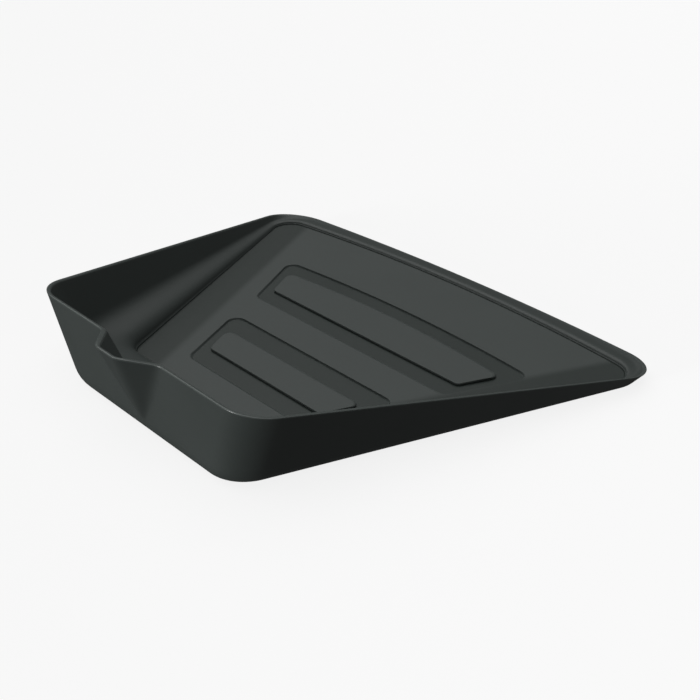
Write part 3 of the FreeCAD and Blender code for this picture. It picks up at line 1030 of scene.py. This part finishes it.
@dataclass
class FloorPanel:
    """The drop-in floor with its two ring-shaped grooves."""

    layout: Layout
    edge: float = 0.35
    edge_bands: int = 3
    shape: GrooveShape = GrooveShape()
    steps: LoopSteps = LoopSteps(near=16, near_arc=8, side=24, far_arc=8, far=32)

    def build(self, face: bpy.types.Material, groove: bpy.types.Material) -> bpy.types.Object:
        """Build the panel.

        Args:
            face: the material of the panel's face and edges.
            groove: the smoother material of the groove floors, darkened in colour as painted shade.

        Returns:
            The finished piece.
        """
        maker = MeshMaker("drop_in_floor", self.layout.shift_y)
        top = self.layout.panel_top
        outer = self.layout.panel
        inner = outer.shrink(self.edge)
        base = at_height(outer.loop(self.steps), self.layout.recess_floor)
        shoulder = at_height(outer.loop(self.steps), top - self.edge)
        corner = at_height(outer.loop(self.steps), top)
        face_edge = at_height(inner.loop(self.steps), top)
        bottom, rim = maker.skin([base] + bend(shoulder, corner, face_edge, self.edge_bands))
        maker.flat([bottom], upwards=False)
        outlines = (self.layout.front_groove, self.layout.rear_groove)
        grooves = [self._groove(maker, outline) for outline in outlines]
        maker.flat([rim] + grooves, upwards=True)
        return maker.finish([face, groove])

    def _groove(self, maker: MeshMaker, outline: Outline) -> VertLoop:
        """Sink one groove into the panel's face.

        Args:
            maker: the panel's mesh.
            outline: the groove's upper edge.

        Returns:
            The vertices of the upper edge.
        """
        shape = self.shape
        top, floor = self.layout.panel_top, self.layout.groove_floor
        lower = outline.inset(shape.side, shape.side, shape.ramp, shape.crisp)
        loops = []
        for index in range(shape.bands + 1):
            t = index / shape.bands
            part = replace(
                outline,
                near_half=outline.near_half + (lower.near_half - outline.near_half) * t,
                far_half=outline.far_half + (lower.far_half - outline.far_half) * t,
                near_y=outline.near_y + (lower.near_y - outline.near_y) * t,
                far_y=outline.far_y + (lower.far_y - outline.far_y) * t,
            )
            # The wall is level where it meets the face and the groove's floor.
            fall = t * t * (3 - 2 * t)
            loops.append(self.layout.aside(at_height(part.loop(self.steps), top - (top - floor) * fall)))
        upper, bed = maker.skin(loops)
        # The groove floor takes the second material, whose darker colour is painted shade.
        maker.flat([bed], upwards=True, finish=1)
        return upper


@dataclass
class RolloffBar:
    """A raised bar that stands in one groove, on two pegs.

    The first upright_share of its height is a plain wall; the rest is round.
    """

    layout: Layout
    name: str
    groove: Outline
    near_gap: float
    far_gap: float
    peg_line: float
    peg_spread: float
    height: float = 2.2
    near_end_gap: float = 1.5
    far_end_gap: float = 17.0
    corner: float = 5.0
    crisp: float = 0.35
    ramp: float = 2.8
    side: float = 0.9
    upright_share: float = 0.45
    edge_bands: int = 9
    peg_radius: float = 3.0
    peg_sides: int = 24
    steps: LoopSteps = LoopSteps(near=16, near_arc=8, side=8, far_arc=8, far=24)

    def build(self, plastic: bpy.types.Material) -> bpy.types.Object:
        """Build the bar: steep towards the well, a soft ramp towards the mouth.

        Args:
            plastic: the bar's material.

        Returns:
            The finished piece.
        """
        maker = MeshMaker(self.name, self.layout.shift_y)
        foot = self.groove.inset(
            self.near_end_gap, self.far_end_gap, self.near_gap, self.far_gap, self.corner, self.corner
        )
        low = self.layout.groove_floor
        loops = [self.layout.aside(at_height(foot.loop(self.steps), low))]
        for index in range(1, self.edge_bands + 1):
            turn = index / self.edge_bands * math.pi / 2
            across = 1 - math.cos(turn)
            side = self.side * across
            part = foot.inset(side, side, self.crisp * across, self.ramp * across)
            rise = self.height * (self.upright_share + (1 - self.upright_share) * math.sin(turn))
            loops.append(self.layout.aside(at_height(part.loop(self.steps), low + rise)))
        bottom, top = maker.skin(loops)
        maker.flat([top], upwards=True)
        maker.flat([bottom], upwards=False)
        for hand in (-1, 1):
            self._peg(maker, self.layout.groove_offset + hand * self.peg_spread / 2)
        return maker.finish([plastic])

    def _peg(self, maker: MeshMaker, x: float) -> None:
        """Add one locating peg under the bar.

        Args:
            maker: the bar's mesh.
            x: where the peg stands across the tray.
        """
        centre = Vector((x, self.peg_line, 0))
        turns = [index * math.tau / self.peg_sides for index in range(self.peg_sides)]
        circle = [
            centre + Vector((math.cos(turn), math.sin(turn), 0)) * self.peg_radius for turn in turns
        ]
        low = at_height(circle, self.layout.recess_floor)
        high = at_height(circle, self.layout.groove_floor)
        bottom, top = maker.skin([low, high])
        maker.flat([bottom], upwards=False)
        maker.flat([top], upwards=True)


@dataclass
class Studio:
    """Plain pale floor, soft lights and the camera.

    Angles are degrees.  The camera's place is in metres, in the layout.
    """

    floor_half: float = 30.0
    floor_glow: float = 0.85
    air_light: float = 0.08
    lens: float = 54.54
    sensor_width: float = 36.0
    azimuth: float = 46.3
    elevation: float = 30.4
    camera_place: tuple[float, float, float] = (0.4939, -0.2868, 0.3895)

    def build(self) -> None:
        """Set up the stage, the lights and the camera."""
        bpy.context.scene.view_settings.view_transform = "Standard"
        self._floor()
        self._world()
        self._sun("overhead_soft_light", source=(-0.3, -0.05, 1.0), spread=85.0, power=1.95)
        self._sun("low_left_light", source=(-0.25, -0.97, 0.1), spread=12.0, power=1.9)
        self._camera()

    def _floor(self) -> None:
        """Lay a pale floor that lights nothing back."""
        half = self.floor_half
        corners = [(-half, -half, 0), (half, -half, 0), (half, half, 0), (-half, half, 0)]
        data = bpy.data.meshes.new("studio_floor")
        data.from_pydata(corners, [], [(0, 1, 2, 3)])
        floor = bpy.data.objects.new("studio_floor", data)
        bpy.context.scene.collection.objects.link(floor)
        floor.visible_diffuse = False
        floor.visible_glossy = False
        material, tree = empty_material("matte_backdrop_paper")
        paper = add_node(
            tree, "ShaderNodeBsdfDiffuse", values={"Color": linear_colour("f4f4f4"), "Roughness": 1.0}
        )
        glow = add_node(
            tree, "ShaderNodeEmission", values={"Color": linear_colour("ffffff"), "Strength": 1.0}
        )
        both = add_node(
            tree,
            "ShaderNodeMixShader",
            values={0: self.floor_glow},
            links={1: paper.outputs["BSDF"], 2: glow.outputs["Emission"]},
        )
        add_node(tree, "ShaderNodeOutputMaterial", links={"Surface": both.outputs["Shader"]})
        data.materials.append(material)

    def _world(self) -> None:
        """Give the air a faint even light, and a pale look beyond the floor."""
        world = bpy.data.worlds.new("studio_air")
        bpy.context.scene.world = world
        world.use_nodes = True
        tree = world.node_tree
        tree.nodes.clear()
        white = linear_colour("ffffff")
        dim = add_node(tree, "ShaderNodeBackground", values={"Color": white, "Strength": self.air_light})
        pale = add_node(tree, "ShaderNodeBackground", values={"Color": white, "Strength": 1.0})
        seen = add_node(tree, "ShaderNodeLightPath").outputs["Is Camera Ray"]
        both = add_node(
            tree,
            "ShaderNodeMixShader",
            links={0: seen, 1: dim.outputs["Background"], 2: pale.outputs["Background"]},
        )
        add_node(tree, "ShaderNodeOutputWorld", links={"Surface": both.outputs["Shader"]})

    def _sun(self, name: str, source: tuple[float, float, float], spread: float, power: float) -> None:
        """Add one far soft light.

        Args:
            name: the light's name.
            source: the direction that the light comes from.
            spread: the light's width, in degrees, as seen from the tray.
            power: watts on each square metre that faces it.
        """
        data = bpy.data.lights.new(name, "SUN")
        data.angle = math.radians(spread)
        data.energy = power
        light = bpy.data.objects.new(name, data)
        light.location = Vector(source)
        light.rotation_euler = (-Vector(source)).to_track_quat("-Z", "Y").to_euler()
        bpy.context.scene.collection.objects.link(light)

    def _camera(self) -> None:
        """Place the camera and turn it to the tray."""
        data = bpy.data.cameras.new("camera")
        data.lens = self.lens
        data.sensor_width = self.sensor_width
        camera = bpy.data.objects.new("camera", data)
        azimuth, elevation = math.radians(self.azimuth), math.radians(self.elevation)
        level = math.cos(elevation)
        look = Vector((-math.sin(azimuth) * level, math.cos(azimuth) * level, -math.sin(elevation)))
        x, y, z = self.camera_place
        camera.location = (x, y + Layout().shift_y * MM, z)
        camera.rotation_euler = look.to_track_quat("-Z", "Y").to_euler()
        bpy.context.scene.collection.objects.link(camera)
        bpy.context.scene.camera = camera


def main() -> None:
    """Build every sub-assembly, dress the carried-over nodes and set the stage."""
    logging.basicConfig(level=logging.INFO, format="%(name)s: %(message)s")
    layout = Layout()
    panel = layout.panel
    slope = (panel.far_half - panel.near_half) / (panel.far_y - panel.near_y)
    side_shade = PaintedSideShade(panel.near_half, slope, panel.near_y + layout.shift_y)
    shell_plastic = MouldedPolypropylene("moulded_polypropylene_grained", "3a403e", "3d4341").material()
    # The floor panel's side bands take a darker colour as painted shade.
    panel_plastic = MouldedPolypropylene(
        "moulded_polypropylene_floor", "3f4543", "424846", painted_shade_colour="252d2a", side_shade=side_shade
    ).material()
    # Painted highlight: the rim's plastic is lighter in colour so that the rim reads bright; its lower
    # roughness gives a real gloss.
    rim_highlight_plastic = MouldedPolypropylene(
        "moulded_polypropylene_rubbed_painted_highlight", "4b514f", "4e5452", roughness=0.3
    ).material()
    # Painted shade: the groove floors are coloured far darker than the panel's face to stand for the shade
    # in the recesses; their roughness is a little lower.
    groove_shade_plastic = MouldedPolypropylene(
        "moulded_polypropylene_polished_painted_shade", "262e2b", "29312e", roughness=0.45
    ).material()
    bar_plastic = MouldedPolypropylene("moulded_polypropylene_bar", "3f4543", "424846").material()
    rubber = MouldedRubber("moulded_rubber", "151515", "1d1d1c").material()

    moulding = TrayShell(layout).build(shell_plastic, rim_highlight_plastic)
    floor = FloorPanel(layout).build(panel_plastic, groove_shade_plastic)
    bars = {
        "front_rolloff_bar": RolloffBar(
            layout,
            "front_bar",
            layout.front_groove,
            near_gap=18.2,
            far_gap=18.0,
            peg_line=107.0,
            peg_spread=60.0,
        ),
        "rear_rolloff_bar": RolloffBar(
            layout,
            "rear_bar",
            layout.rear_groove,
            near_gap=17.0,
            far_gap=14.0,
            peg_line=200.0,
            peg_spread=120.0,
        ),
    }
    dressed = [
        (moulding, Body.TRAY, "tray_shell", Slot.SHELL),
        (floor, Body.FLOOR, "floor_panel", Slot.PANEL),
    ]
    for node, bar in bars.items():
        dressed.append((bar.build(bar_plastic), Body.FLOOR, node, Slot.BAR))
    for piece, body, node, slot in dressed:
        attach(piece, body.value)
        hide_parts(node)
        log.info("%s rides on %s and stands for %s", piece.name, body.value, node)
    for node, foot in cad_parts.items():
        if node.startswith("foot_"):
            for holder in foot.material_slots:
                holder.material = rubber
            log.info("%s keeps its shape, in rubber", node)
    Studio().build()


if __name__ == "__main__":
    main()
